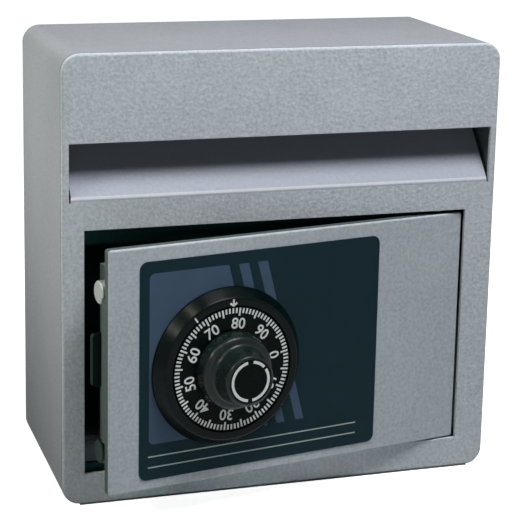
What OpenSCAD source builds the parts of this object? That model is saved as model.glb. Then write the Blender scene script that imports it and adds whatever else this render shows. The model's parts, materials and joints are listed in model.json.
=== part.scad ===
// Front-loading deposit safe: a drop slot over a locked door.
// The origin is the middle of the underside, the front faces -Y and +Z is up.

/* [Cabinet] */
// Width over the side walls
body_w = 280; // [260:1:340]
// Height over the top and bottom walls
body_h = 280; // [272:1:340]
// Depth from the front face to the back face
body_d = 130; // [126:1:180]
// Thickness of the wrapped sheet
wall_t = 3; // [2:0.5:4]
// Outside radius of the four long folded edges
edge_r = 11; // [8:0.5:16]
// Thickness of the front plate
front_t = 3; // [2:0.5:4]
// Radius ground on the outer edge of the front plate
front_edge_r = 1.8; // [1:0.1:2]
// Thickness of the back plate
back_t = 3; // [2:0.5:4]

/* [Deposit slot] */
// Drop from the top of the cabinet to the top of the slot
slot_drop = 53.7; // [50:0.1:58]
// Height of the slot in the front plate
slot_h = 35; // [28:0.5:36]
// Front plate left standing at each end of the slot
slot_side = 4.5; // [4.2:0.1:8]
// Outside radius of the bend at the foot of the flap
flap_r = 4; // [4:0.2:6]
// Rise of the flap from the horizontal, in degrees
flap_rise = 48; // [28:1:54]
// Length of the flap past the bend
flap_len = 46; // [36:1:50]
// Gap between the flap and each end of the slot
flap_gap = 1.2; // [0.6:0.1:1.5]
// Height of the relief cut at each foot of the flap
relief_h = 0.8; // [0.5:0.1:6]

/* [Fishing baffle] */
// Thickness of the baffle sheet
baffle_t = 2; // [1.5:0.5:3]
// Height of the baffle's foot above the slot's lower edge
baffle_up = 34; // [30:1:40]
// Height of the strip that joins the baffle to the back plate
baffle_strip_h = 16; // [12:1:20]
// Length of the sloping sheet, without its teeth
baffle_len = 40; // [34:1:44]
// Slope of the sheet below the horizontal, in degrees
baffle_slope = 40; // [30:1:50]
// Pitch of the teeth
tooth_pitch = 12; // [10:1:16]
// Depth of the teeth
tooth_depth = 6; // [4:0.5:8]

/* [Door opening] */
// Front plate left of the opening
open_left = 13.6; // [12.8:0.1:16]
// Front plate right of the opening
open_right = 19.6; // [18:0.1:24]
// Front plate below the opening
open_bottom = 19.5; // [18.5:0.5:22]
// Front plate between the opening and the slot
slot_band = 17.8; // [17:0.1:24]

/* [Door] */
// Thickness of the door plate
door_t = 6; // [5:0.5:6]
// Gap beside the door's free edge
gap_free = 0.8; // [0.8:0.1:1.5]
// Gap beside the door's hinged edge
gap_hinge = 2.9; // [2.7:0.1:3.5]
// Gap above the door
gap_top = 2.4; // [1.2:0.1:2.5]
// Gap below the door
gap_bottom = 0.8; // [0.6:0.1:1.2]
// Radius of the door plate's front edges
door_edge_r = 1.2; // [0.4:0.1:1.4]
// Radius of the door plate's corners
door_corner_r = 1.6; // [1.5:0.1:4]
// Angle that the door stands open at rest
door_ajar = 10; // [0:0.5:20]
// Thickness of the label plate
label_t = 0.5; // [0.4:0.1:0.8]
// Width of the label plate
label_w = 162.9; // [150:0.1:170]
// Corner radius of the label plate
label_r = 5; // [3:0.5:8]
// Distance of the label plate from the door's free edge
label_in = 19.4; // [14:0.1:22]
// Door left bare below the label plate
label_below = 6.3; // [5:0.1:10]
// Door left bare above the label plate
label_above = 8.9; // [5:0.1:12]
// Width of the bar behind the free edge
edge_bar_w = 6; // [4:0.5:7]
// Depth of the bar behind the free edge
edge_bar_t = 5; // [4:0.5:8]
// Distance of that bar's ends from the door's upper and lower edges
edge_bar_in = 31.2; // [28:0.1:36]

/* [Hinge] */
// Distance of the pivot from the door's hinged edge
pivot_in = 12; // [12:0.5:14]
// Distance of the pivot behind the door's front face
pivot_back = 10; // [10:0.5:11]
// Radius of the pivot pins
pin_r = 2.5; // [2:0.5:3]
// Radius round the pivot in each lug
lug_r = 6; // [5:0.5:7]
// Height of each lug
lug_h = 14; // [10:1:18]
// Thickness of the hinge brackets
bracket_t = 4; // [3:0.5:5]
// Depth of the hinge brackets behind the front plate
bracket_d = 19; // [17:1:24]
// Thickness of the washer under the door
washer_t = 1.6; // [1.4:0.1:1.8]

/* [Jambs and stops] */
// Thickness of the jamb bars
jamb_t = 7.5; // [6:0.5:7.5]
// Part of the opening's margin that the left jamb leaves free
jamb_set = 0.8; // [0.5:0.1:1.5]
// Length of the left jamb past the opening's upper and lower edges
jamb_over = 4.5; // [3:0.5:6]
// Thickness of the folded door stops
stop_t = 3; // [2:0.5:3]
// Reach of the upper door stop below the opening's upper edge
stop_top_reach = 10; // [6:0.5:12]
// Reach of the lower door stop above the opening's lower edge
stop_bottom_reach = 4.5; // [3:0.5:6]
// Height of the flange that joins a stop to the front plate
stop_flange = 11; // [8:1:12]

/* [Dial] */
// Distance of the dial's centre from the door's free edge
dial_in = 76.5; // [76:0.5:90]
// Distance of the dial's centre below the middle of the door
dial_drop = 3.7; // [2:0.05:7]
// Radius of the dial ring at the door
ring_r = 49.5; // [48:0.5:54]
// Radius of the dial ring's front rim
ring_rim_r = 44.2; // [43.4:0.1:47]
// Height of the dial ring
ring_h = 8.5; // [8:0.5:14]
// Thickness of the dial ring's back flange
ring_flange = 2; // [2:0.5:3]
// Radius of the dial
dial_r = 38.8; // [36:0.2:39.6]
// Radius of the knob at the dial's face
knob_r = 24; // [21:0.5:27]
// Radius of the knob's narrow front part
knob_neck_r = 15.6; // [15:0.2:17.4]
// Height of the knob above the dial's face
knob_h = 24.5; // [22:0.5:32]
// Height of the knob's wide lower part
knob_base_h = 10; // [9:0.5:14]
// Radius of the cap set in the knob's face
cap_r = 13.6; // [12:0.2:13.8]
// Depth of the recess that holds the cap
cap_recess = 1.4; // [1:0.1:2]
// Radius of the spindle
spindle_r = 4; // [3:0.5:4]
// Wall of the tube round the spindle
tube_t = 2; // [1.5:0.5:2]
// Radius of the circle that the ring's screws lie on
ring_screw_pcr = 30; // [24:1:36]

/* [Lock] */
// Thickness of the hard plate behind the dial
hard_t = 4; // [3:0.5:5]
// Length of the lock case along the bolt
case_l = 82; // [80:1:86]
// Height of the lock case
case_h = 61; // [60:1:66]
// Depth of the lock case without its cover
case_d = 29; // [28:1:32]
// Wall of the lock case
case_t = 3; // [2.5:0.5:3]
// Thickness of the lock cover
cover_t = 2; // [1.5:0.5:3]
// Distance from the dial's centre to the case's bolt end
case_in = 48; // [47:0.5:50]
// Radius of the corner bosses in the case
boss_r = 5.5; // [5:0.5:6]
// Radius of the lock's fixing screws
lock_screw_r = 2.5; // [2:0.5:3]
// Radius of the wheels
wheel_r = 20; // [18:0.5:20]
// Thickness of each wheel
wheel_t = 2.4; // [2:0.2:2.6]
// Pitch of the wheels along the post
wheel_pitch = 5; // [4.8:0.1:5.2]
// Radius of the wheel post
post_r = 7; // [6.5:0.5:8]
// Thickness of the drive cam
cam_t = 4; // [3:0.5:4]
// Depth of the gates in the cam and the wheels
gate_depth = 4; // [3.5:0.5:5]
// Distance of the lever's pin from the end of the lock's own bolt
lever_pin_in = 7.5; // [6:0.5:9]
// Height of the lever's pin above the dial's centre
lever_pin_up = 8; // [7:0.5:9]
// Radius round the pin in the lever
lever_eye_r = 5; // [4:0.5:5.5]
// Height of the lever's top edge above the dial's centre
lever_top = 24.6; // [24:0.1:25.5]

/* [Bolts] */
// Travel of the bolts
bolt_travel = 9; // [7:0.5:9]
// Radius of the round bolts
bolt_r = 7; // [6:0.5:7]
// Distance of the lower round bolt from the door's lower edge
bolt_up = 22.2; // [18:0.1:24]
// Distance of the retracted bolts' ends inside the door's edge
bolt_set = 0.8; // [0.6:0.1:2]
// Thickness of the bolt bar
bar_t = 4; // [3:0.5:5]
// Height of the lock's own bolt
lock_bolt_h = 24; // [20:1:25]
// Thickness of the lock's own bolt
lock_bolt_t = 10; // [8:0.5:10]
// Height of the flat centre bolt
centre_bolt_h = 33; // [28:1:36]
// Thickness of the flat centre bolt
centre_bolt_t = 4; // [3:0.5:5]
// Height of the flat centre bolt's middle above the dial's centre
centre_bolt_up = 4.4; // [3:0.1:6]
// Thickness of the bolt guide
guide_t = 3; // [2:0.5:3]

/* [Anchors] */
// Radius of the anchor holes
anchor_r = 5.25; // [4:0.25:6.5]
// Spacing of the base anchors along the width
base_anchor_x = 200; // [160:5:210]
// Spacing of the base anchors along the depth
base_anchor_y = 70; // [50:5:74]
// Spacing of the back anchors
back_anchor_x = 120; // [100:5:200]
// Height of the back anchors
back_anchor_z = 120; // [80:5:140]

/* [Fits] */
// Radial clearance of a pin or shaft in its hole
run_fit = 0.05; // [0.02:0.01:0.1]
// Clearance between pieces that pass each other
pass_gap = 0.3; // [0.3:0.05:0.5]
// Clearance round a screw in its hole
screw_gap = 0.2; // [0.1:0.05:0.3]

/* [Hidden] */

paint = [0.62, 0.65, 0.67];
black = [0.05, 0.05, 0.06];
label_dark = [0.09, 0.15, 0.18];
steel = [0.70, 0.71, 0.72];
brass = [0.78, 0.65, 0.33];
zinc = [0.72, 0.73, 0.70];

// Cabinet, with the front face at y = 0
side_x = body_w / 2;
inner_x = side_x - wall_t;
open_x0 = -side_x + open_left;
open_x1 = side_x - open_right;
slot_x = side_x - slot_side;
slot_z1 = body_h - slot_drop;
slot_z0 = slot_z1 - slot_h;
open_z0 = open_bottom;
open_z1 = slot_z0 - slot_band;
open_h = open_z1 - open_z0;
back_y = body_d - back_t;
flap_x = slot_x - flap_gap;
baffle_x = inner_x - pass_gap;
baffle_foot = slot_z0 + baffle_up;
over = 1;

// Door, closed, in the same frame
door_x0 = open_x0 + gap_free;
door_x1 = open_x1 - gap_hinge;
door_z0 = open_z0 + gap_bottom;
door_z1 = open_z1 - gap_top;
pivot_x = door_x1 - pivot_in;
pivot_y = pivot_back;
label_x0 = door_x0 + label_in;
dial_x = door_x0 + dial_in;
dial_z = (door_z0 + door_z1) / 2 - dial_drop;
stop_y = door_t + pass_gap;
stop_x1 = pivot_x - 2.5 * lug_r;
bracket_z0_top = open_z1 + pass_gap;
bracket_z1_bottom = door_z0 - washer_t - pass_gap;
pin_head_r = pin_r + 1.5;
pin_head_h = 2;
bracket_x0 = pivot_x - 2 * lug_r;
right_jamb_x0 = pivot_x + norm([pivot_in, pivot_back]) + 2 * pass_gap;
right_jamb_leg = 22;

// Dial ring and dial, as heights above the door's face
dial_z0 = label_t + ring_flange + 0.5;
dial_z1 = label_t + ring_h - 0.5;
ring_bore_r = dial_r + 0.6;
tube_r = spindle_r + run_fit + tube_t;
tube_hole_r = tube_r + run_fit;
knob_top = dial_z1 + knob_h;
ring_screw_r = 1.5;

// Lock, as depths behind the door's face
hard_y = door_t;
case_y = hard_y + hard_t;
floor_y = case_y + case_t;
cover_y = case_y + case_d;
case_x0 = dial_x - case_in;
case_x1 = case_x0 + case_l;
case_corner_r = 4;
hard_margin = 3;
boss_in = 5.5;
screw_head_r = lock_screw_r + 2;
screw_head_h = 2.4;
cam_r = wheel_r - 0.5;
cam_y = floor_y + 0.4;
cam_hub_r = spindle_r + 5;
cam_hub_h = 1.2;
post_y0 = cam_y + cam_t + cam_hub_h + 0.5;
wheel_y0 = post_y0 + 1.9;
spacer_r = post_r + 3.5;
driver_r = 14;
driver_pin_r = 1.2;
driver_len = (wheel_pitch - wheel_t) * 0.65;
post_flange_t = 1.8;

// Bolts
bar_x1 = case_x0 - 1.5;
bar_x0 = bar_x1 - bar_t;
bolt_end_x = door_x0 + bolt_set;
bolt_rise = dial_z - door_z0 - bolt_up;
bar_y0 = door_t + edge_bar_t + pass_gap;
bolt_y = bar_y0 + bolt_r;
bar_depth = 22;
bar_over = 9;
bar_margin = 2.5;
centre_bolt_y = bar_y0 + bar_depth - centre_bolt_t - bar_margin;
centre_bolt_z = dial_z + centre_bolt_up;
centre_bolt_chamfer = 1.4;
guide_x = door_x0 + 8.6;
guide_foot = 14;
guide_depth = bar_y0 + bar_depth + 1 - door_t;
guide_over = 13;
lock_bolt_y = cam_y + cam_t - 0.4;
lock_bolt_in = wheel_r + 2.5;
bar_screw_rise = 7;
bar_screw_r = 2;
bar_screw_len = 12;
bar_head_r = bar_screw_r + 1.6;
bar_head_h = 2.2;
driver_slot = 1;
spigot_r = 4;

// Lever, in its raised place, measured from the dial's centre
lever_t = cam_t - 0.8;
lever_y = lock_bolt_y - pass_gap - lever_t;
lever_px = -lock_bolt_in - lever_pin_in;
lever_pin_r = 2.5;
lever_pin_sink = lock_bolt_t / 2;
lever_neck_r = 3.5;
shoe_r = wheel_r + pass_gap;
shoe_a0 = 117;
shoe_a1 = 137;
fence_a = 130;
fence_w = 3;

// Moves the cabinet's frame, with its front at y = 0, to the part's own frame
module in_cabinet() {
    translate([0, -body_d / 2, 0]) children();
}

// Swings the closed door's frame about the pivot
module on_door() {
    in_cabinet() translate([pivot_x, pivot_y, 0]) rotate([0, 0, door_ajar])
        translate([-pivot_x, -pivot_y, 0]) children();
}

// Extrudes an outline drawn in X and Z from depth y0 to depth y1
module upright(y0, y1) {
    translate([0, y1, 0]) rotate([90, 0, 0]) linear_extrude(y1 - y0) children();
}

// Extrudes a section drawn in Y and Z from x0 to x1
module section(x0, x1) {
    translate([x0, 0, 0]) rotate([90, 0, 90]) linear_extrude(x1 - x0) children();
}

// Revolves a half section, drawn as radius and height above the door, about the dial's axis
module turned() {
    translate([dial_x, 0, dial_z]) rotate([90, 0, 0]) rotate_extrude($fn = 96) children();
}

// Rounded rectangle between two corners
module rounded(x0, x1, z0, z1, r) {
    translate([x0 + r, z0]) square([x1 - x0 - 2 * r, z1 - z0]);
    translate([x0, z0 + r]) square([x1 - x0, z1 - z0 - 2 * r]);
    for (x = [x0 + r, x1 - r], z = [z0 + r, z1 - r]) translate([x, z]) circle(r, $fn = 48);
}

// Plate with its front face at y = 0 and the front edge rounded to radius e
module faced_plate(x0, x1, z0, z1, t, r, e) {
    steps = 5;
    hull() for (i = [0:steps]) {
        a = 90 * i / steps;
        inset = e * (1 - sin(a));
        upright(e * (1 - cos(a)), t)
            rounded(x0 + inset, x1 - inset, z0 + inset, z1 - inset, r - inset);
    }
}

// Hole through the door's pieces on the dial's axis, from depth y0 to y1
module dial_hole(r, y0, y1) {
    translate([dial_x, y0, dial_z]) rotate([-90, 0, 0]) cylinder(r = r, h = y1 - y0, $fn = 64);
}

// Places children at the ring's three screws, facing outwards
module at_ring_screws() {
    for (a = [90, 210, 330])
        translate([dial_x + ring_screw_pcr * cos(a), 0, dial_z + ring_screw_pcr * sin(a)])
            rotate([90, 0, 0]) children();
}

// Places children at the lock's four screws, facing inwards
module at_lock_screws() {
    for (x = [case_x0 + boss_in, case_x1 - boss_in],
         z = [dial_z - case_h / 2 + boss_in, dial_z + case_h / 2 - boss_in])
        translate([x, 0, z]) rotate([-90, 0, 0]) children();
}

// Sector ring cut as a gate between two angles, from radius r0 outwards
module gate(a0, a1, r0) {
    reach = 2 * wheel_r;
    difference() {
        polygon([[0, 0], [reach * cos(a0), reach * sin(a0)], [reach * cos(a1), reach * sin(a1)]]);
        circle(r0, $fn = 64);
    }
}

module body_shell() color(paint) in_cabinet() difference() {
    upright(front_t, body_d) difference() {
        rounded(-side_x, side_x, 0, body_h, edge_r);
        rounded(-inner_x, inner_x, wall_t, body_h - wall_t, edge_r - wall_t);
    }
    for (x = [-1, 1], y = [-1, 1])
        translate([x * base_anchor_x / 2, body_d / 2 + y * base_anchor_y / 2, -over])
            cylinder(r = anchor_r, h = wall_t + 2 * over, $fn = 48);
}

// Section of the bent flap, drawn in Y and Z
function arc(r, a0, a1, n) = [for (i = [0:n]) let (a = a0 + (a1 - a0) * i / n)
    [flap_r + r * cos(a), slot_z0 + r * sin(a)]];
flap_end_a = 90 + flap_rise;
flap_dir = [cos(flap_rise), sin(flap_rise)];
flap_outer = arc(flap_r, 180, flap_end_a, 8);
flap_inner = arc(flap_r - front_t, flap_end_a, 180, 8);

module front_plate() color(paint) in_cabinet() {
    difference() {
        faced_plate(-side_x, side_x, 0, body_h, front_t, edge_r, front_edge_r);
        upright(-over, front_t + over) {
            translate([-slot_x, slot_z0]) square([2 * slot_x, slot_h]);
            translate([open_x0, open_z0]) square([open_x1 - open_x0, open_h]);
            for (x = [-slot_x, flap_x])
                translate([x, slot_z0 - relief_h]) square([flap_gap, relief_h + over]);
        }
    }
    section(-flap_x, flap_x) polygon(concat(
        flap_outer,
        [flap_outer[8] + flap_len * flap_dir, flap_inner[0] + flap_len * flap_dir],
        flap_inner));
}

module back_plate() color(paint) in_cabinet() difference() {
    upright(back_y, body_d)
        rounded(-inner_x, inner_x, wall_t, body_h - wall_t, edge_r - wall_t);
    for (x = [-1, 1]) translate([x * back_anchor_x / 2, back_y - over, back_anchor_z])
        rotate([-90, 0, 0]) cylinder(r = anchor_r, h = back_t + 2 * over, $fn = 48);
}

module fishing_baffle() color(paint) in_cabinet() {
    teeth = floor(2 * baffle_x / tooth_pitch);
    pitch = 2 * baffle_x / teeth;
    edge = [for (i = [0:teeth - 1]) each [[baffle_x - i * pitch, -baffle_len],
        [baffle_x - (i + 0.5) * pitch, -baffle_len - tooth_depth]]];
    intersection() {
        translate([0, back_y, baffle_foot]) rotate([baffle_slope, 0, 0]) linear_extrude(baffle_t)
            polygon(concat([[-baffle_x, 2 * baffle_t], [baffle_x, 2 * baffle_t]], edge,
                [[-baffle_x, -baffle_len]]));
        translate([-side_x, 0, 0]) cube([body_w, back_y, body_h]);
    }
}

// Welded to the back plate, with its foot on the baffle
module baffle_strip() color(paint) in_cabinet() section(-baffle_x, baffle_x)
    translate([back_y, baffle_foot + baffle_t / cos(baffle_slope)]) polygon([
        [0, 0], [0, baffle_strip_h], [-baffle_t, baffle_strip_h],
        [-baffle_t, -baffle_t * tan(baffle_slope)]]);

module jamb_bar_left() color(paint) in_cabinet() upright(front_t, front_t + jamb_t)
    translate([-inner_x, open_z0 - jamb_over])
        square([open_left - wall_t - jamb_set, open_h + 2 * jamb_over]);

module jamb_bar_right() color(paint) in_cabinet() {
    z0 = bracket_z1_bottom + pass_gap;
    translate([0, 0, z0]) linear_extrude(bracket_z0_top - z0 - pass_gap) {
        translate([right_jamb_x0, front_t]) square([inner_x - right_jamb_x0, wall_t]);
        translate([inner_x - wall_t, front_t]) square([wall_t, right_jamb_leg]);
    }
}

// Folded stop, its section drawn for the lower one with z = 0 at the opening's edge
module door_stop(reach) {
    step_y = stop_y - front_t;
    section(open_x0 - jamb_set + pass_gap, stop_x1) translate([front_t, 0]) polygon([
        [0, -stop_flange - stop_t], [stop_t, -stop_flange - stop_t], [stop_t, -stop_t - step_y + stop_t],
        [step_y + stop_t, -stop_t], [step_y + stop_t, reach], [step_y, reach],
        [step_y, -stop_t + 1], [0, -stop_t - step_y + 1]]);
}

module door_stop_bottom() color(paint) in_cabinet() translate([0, 0, open_z0])
    door_stop(stop_bottom_reach);

module door_stop_top() color(paint) in_cabinet() translate([0, 0, open_z1]) mirror([0, 0, 1])
    door_stop(stop_top_reach);

module hinge_bracket(z0) {
    translate([0, 0, z0]) difference() {
        linear_extrude(bracket_t) difference() {
            translate([bracket_x0, front_t]) square([inner_x - bracket_x0, bracket_d]);
            translate([bracket_x0, front_t + bracket_d]) rotate(-45)
                square([lug_r, 2 * lug_r], center = true);
        }
        translate([pivot_x, pivot_y, -over])
            cylinder(r = pin_r + run_fit, h = bracket_t + 2 * over, $fn = 32);
    }
}

module hinge_bracket_top() color(paint) in_cabinet() hinge_bracket(bracket_z0_top);

module hinge_bracket_bottom() color(paint) in_cabinet() hinge_bracket(bracket_z1_bottom - bracket_t);

// Headed pin that stands up from a head at z = 0
module hinge_pin(length) {
    translate([pivot_x, pivot_y, 0]) {
        cylinder(r = pin_r, h = pin_head_h + length, $fn = 32);
        cylinder(r = pin_head_r, h = pin_head_h, $fn = 32);
    }
}

module hinge_pin_bottom() color(steel) in_cabinet()
    translate([0, 0, bracket_z1_bottom - bracket_t - pin_head_h])
        hinge_pin(bracket_t + washer_t + pass_gap + lug_h);

module hinge_pin_top() color(steel) in_cabinet()
    translate([0, 0, bracket_z0_top + bracket_t + pin_head_h]) mirror([0, 0, 1])
        hinge_pin(bracket_t + bracket_z0_top - door_z1 + lug_h);

module hinge_washer() color(brass) in_cabinet() translate([pivot_x, pivot_y, bracket_z1_bottom])
    difference() {
        cylinder(r = lug_r - 0.5, h = washer_t, $fn = 32);
        translate([0, 0, -over]) cylinder(r = pin_r + run_fit, h = washer_t + 2 * over, $fn = 32);
    }

module door_plate() color(paint) on_door() difference() {
    faced_plate(door_x0, door_x1, door_z0, door_z1, door_t, door_corner_r, door_edge_r);
    dial_hole(tube_hole_r, -over, door_t + over);
    at_ring_screws() translate([0, 0, -door_t - over]) cylinder(r = ring_screw_r + run_fit,
        h = door_t + 2 * over, $fn = 32);
    at_lock_screws() translate([0, 0, door_t / 2])
        cylinder(r = lock_screw_r + run_fit, h = door_t, $fn = 32);
}

module door_label() color(label_dark) on_door() difference() {
    upright(-label_t, 0) rounded(label_x0, label_x0 + label_w, door_z0 + label_below,
        door_z1 - label_above, label_r);
    dial_hole(tube_hole_r, -label_t - over, over);
    at_ring_screws() translate([0, 0, -over]) cylinder(r = ring_screw_r + screw_gap,
        h = label_t + 2 * over, $fn = 32);
}

module door_edge_bar() color(paint) on_door() upright(door_t, door_t + edge_bar_t)
    translate([door_x0, door_z0 + edge_bar_in])
        square([edge_bar_w, door_z1 - door_z0 - 2 * edge_bar_in]);

module bolt_guide() color(paint) on_door() {
    z0 = dial_z - bolt_rise - guide_over;
    difference() {
        translate([guide_x, door_t, z0]) linear_extrude(2 * (bolt_rise + guide_over)) {
            square([guide_foot, guide_t]);
            square([guide_t, guide_depth]);
        }
        for (s = [-1, 1]) translate([guide_x - over, bolt_y, dial_z + s * bolt_rise]) rotate([0, 90, 0])
            cylinder(r = bolt_r + pass_gap, h = guide_t + 2 * over, $fn = 48);
        translate([guide_x - over, centre_bolt_y - pass_gap,
            centre_bolt_z - centre_bolt_h / 2 - pass_gap])
            cube([guide_t + 2 * over, centre_bolt_t + 2 * pass_gap, centre_bolt_h + 2 * pass_gap]);
    }
}

module hinge_lug(z0) {
    translate([0, 0, z0]) difference() {
        linear_extrude(lug_h) intersection() {
            union() {
                translate([pivot_x, pivot_y]) circle(lug_r, $fn = 48);
                translate([pivot_x - 2 * lug_r, door_t]) square([3 * lug_r, pivot_y - door_t]);
            }
            translate([pivot_x - 3 * lug_r, door_t]) square(6 * lug_r);
        }
        translate([pivot_x, pivot_y, -over])
            cylinder(r = pin_r + run_fit, h = lug_h + 2 * over, $fn = 32);
    }
}

module hinge_lug_top() color(paint) on_door() hinge_lug(door_z1 - lug_h);

module hinge_lug_bottom() color(paint) on_door() hinge_lug(door_z0);

module dial_ring() color(black) on_door() difference() {
    top = label_t + ring_h;
    turned() polygon([[tube_hole_r, label_t], [ring_r, label_t], [ring_r, label_t + 1],
        [ring_rim_r + 0.6, top - 1.1], [ring_rim_r + 0.2, top - 0.4], [ring_rim_r - 0.6, top],
        [ring_bore_r + 0.4, top], [ring_bore_r, top - 0.4], [ring_bore_r, label_t + ring_flange],
        [tube_hole_r, label_t + ring_flange]]);
    at_ring_screws() {
        cylinder(r = ring_screw_r + screw_gap, h = ring_h, $fn = 32);
        translate([0, 0, label_t + 0.5]) cylinder(r1 = ring_screw_r + screw_gap,
            r2 = ring_screw_r + screw_gap + 1.5, h = 1.5, $fn = 32);
    }
}

module dial_ring_screws() color(steel) on_door() at_ring_screws() {
    translate([0, 0, -door_t]) cylinder(r = ring_screw_r, h = door_t + label_t + 0.5, $fn = 32);
    translate([0, 0, label_t + 0.5]) cylinder(r1 = ring_screw_r, r2 = ring_screw_r + 1.4, h = 1.4,
        $fn = 32);
}

module spindle_tube() color(brass) on_door() turned() polygon([
    [spindle_r + run_fit, label_t + ring_flange], [tube_r, label_t + ring_flange],
    [tube_r, -floor_y], [spindle_r + run_fit, -floor_y]]);

module hard_plate() color(steel) on_door() difference() {
    upright(hard_y, case_y) rounded(case_x0 - hard_margin / 2, case_x1 + hard_margin,
        dial_z - case_h / 2 - hard_margin, dial_z + case_h / 2 + hard_margin, case_corner_r);
    dial_hole(tube_hole_r, hard_y - over, case_y + over);
    at_lock_screws() translate([0, 0, hard_y - over])
        cylinder(r = lock_screw_r + screw_gap, h = hard_t + 2 * over, $fn = 32);
}

// Outline of the lock case, drawn in X and Z
module case_outline(inset) {
    rounded(case_x0 + inset, case_x1 - inset, dial_z - case_h / 2 + inset,
        dial_z + case_h / 2 - inset, case_corner_r - inset);
}

module lock_case() color(zinc) on_door() difference() {
    union() {
        difference() {
            upright(case_y, cover_y) case_outline(0);
            upright(floor_y, cover_y + over) case_outline(case_t);
        }
        at_lock_screws() translate([0, 0, floor_y - over / 2])
            cylinder(r = boss_r, h = cover_y - floor_y + over / 2, $fn = 48);
    }
    dial_hole(tube_hole_r, case_y - over, floor_y + over);
    at_lock_screws() translate([0, 0, case_y - over])
        cylinder(r = lock_screw_r + screw_gap, h = case_d + 2 * over, $fn = 32);
    translate([case_x0 - over, lock_bolt_y - pass_gap, dial_z - lock_bolt_h / 2 - pass_gap])
        cube([case_t + 2 * over, lock_bolt_t + 2 * pass_gap, lock_bolt_h + 2 * pass_gap]);
}

module lock_cover() color(zinc) on_door() difference() {
    upright(cover_y, cover_y + cover_t) case_outline(0);
    at_lock_screws() translate([0, 0, cover_y - over])
        cylinder(r = lock_screw_r + screw_gap, h = cover_t + 2 * over, $fn = 32);
}

module lock_screws() color(steel) on_door() at_lock_screws() {
    translate([0, 0, door_t / 2]) cylinder(r = lock_screw_r, h = cover_y + cover_t - door_t / 2,
        $fn = 32);
    translate([0, 0, cover_y + cover_t]) difference() {
        cylinder(r = screw_head_r, h = screw_head_h, $fn = 32);
        translate([-screw_head_r, -0.5, screw_head_h - 1]) cube([2 * screw_head_r, 1, 2]);
    }
}

module wheel_post() color(brass) on_door() turned() polygon([[spindle_r + 0.6, -post_y0],
    [post_r, -post_y0], [post_r, -cover_y + post_flange_t], [spacer_r, -cover_y + post_flange_t],
    [spacer_r, -cover_y], [spindle_r + 0.6, -cover_y]]);

// Depth of the near face of wheel n, counted from the dial side
function wheel_y(n) = wheel_y0 + n * wheel_pitch;

module wheel_spacers() color(steel) on_door() turned() {
    for (n = [0:3]) {
        y0 = n == 0 ? post_y0 + 0.2 : wheel_y(n - 1) + wheel_t + pass_gap;
        y1 = n == 3 ? cover_y - post_flange_t : wheel_y(n) - pass_gap;
        translate([post_r + run_fit, -y1]) square([spacer_r - post_r - run_fit, y1 - y0]);
    }
}

module bolt_bar() color(steel) on_door() difference() {
    translate([bar_x0, bar_y0, dial_z - bolt_rise - bar_over])
        cube([bar_t, bar_depth, 2 * (bolt_rise + bar_over)]);
    for (s = [-1, 1]) {
        translate([bar_x0 - over, bolt_y, dial_z + s * bolt_rise]) rotate([0, 90, 0])
            cylinder(r = spigot_r + run_fit, h = bar_t + 2 * over, $fn = 32);
        translate([bar_x0 - over, lock_bolt_y + lock_bolt_t / 2, dial_z + s * bar_screw_rise])
            rotate([0, 90, 0]) cylinder(r = bar_screw_r + screw_gap, h = bar_t + 2 * over, $fn = 32);
    }
}

// Round bolt with a chamfered end and the spigot that is riveted in the bar
module locking_bolt(z) {
    length = bar_x0 - bolt_end_x;
    translate([bar_x1, bolt_y, z]) rotate([0, -90, 0]) rotate_extrude($fn = 64) polygon([
        [0, 0], [spigot_r, 0], [spigot_r, bar_t], [bolt_r, bar_t], [bolt_r, bar_t + length - 0.6],
        [bolt_r - 0.6, bar_t + length], [0, bar_t + length]]);
}

module locking_bolt_top() color(steel) on_door() locking_bolt(dial_z + bolt_rise);

module locking_bolt_bottom() color(steel) on_door() locking_bolt(dial_z - bolt_rise);

module centre_bolt() color(steel) on_door() upright(centre_bolt_y, centre_bolt_y + centre_bolt_t)
    difference() {
        translate([bolt_end_x, centre_bolt_z - centre_bolt_h / 2])
            square([bar_x0 - bolt_end_x, centre_bolt_h]);
        for (s = [-1, 1]) translate([bolt_end_x, centre_bolt_z + s * centre_bolt_h / 2]) rotate(45)
            square(centre_bolt_chamfer * sqrt(2), center = true);
    }

module lock_bolt() color(brass) on_door() difference() {
    translate([bar_x1, lock_bolt_y, dial_z - lock_bolt_h / 2])
        cube([dial_x - lock_bolt_in - bar_x1, lock_bolt_t, lock_bolt_h]);
    for (s = [-1, 1]) translate([bar_x1 - over, lock_bolt_y + lock_bolt_t / 2,
        dial_z + s * bar_screw_rise]) rotate([0, 90, 0])
            cylinder(r = bar_screw_r + run_fit, h = bar_screw_len + over, $fn = 32);
    translate([dial_x + lever_px, lock_bolt_y - over, dial_z + lever_pin_up]) rotate([-90, 0, 0])
        cylinder(r = lever_pin_r + run_fit, h = lever_pin_sink + over, $fn = 32);
}

module bolt_bar_screws() color(steel) on_door() for (s = [-1, 1])
    translate([bar_x0, lock_bolt_y + lock_bolt_t / 2, dial_z + s * bar_screw_rise]) rotate([0, 90, 0]) {
        cylinder(r = bar_screw_r, h = bar_screw_len, $fn = 32);
        translate([0, 0, -bar_head_h]) difference() {
            cylinder(r = bar_head_r, h = bar_head_h, $fn = 32);
            translate([-driver_slot / 2, -bar_head_r, -over])
                cube([driver_slot, 2 * bar_head_r, over + driver_slot]);
        }
    }

module lever_pin() color(steel) on_door()
    translate([dial_x + lever_px, lever_y, dial_z + lever_pin_up]) rotate([-90, 0, 0])
        cylinder(r = lever_pin_r, h = lock_bolt_y - lever_y + lever_pin_sink, $fn = 32);

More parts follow.
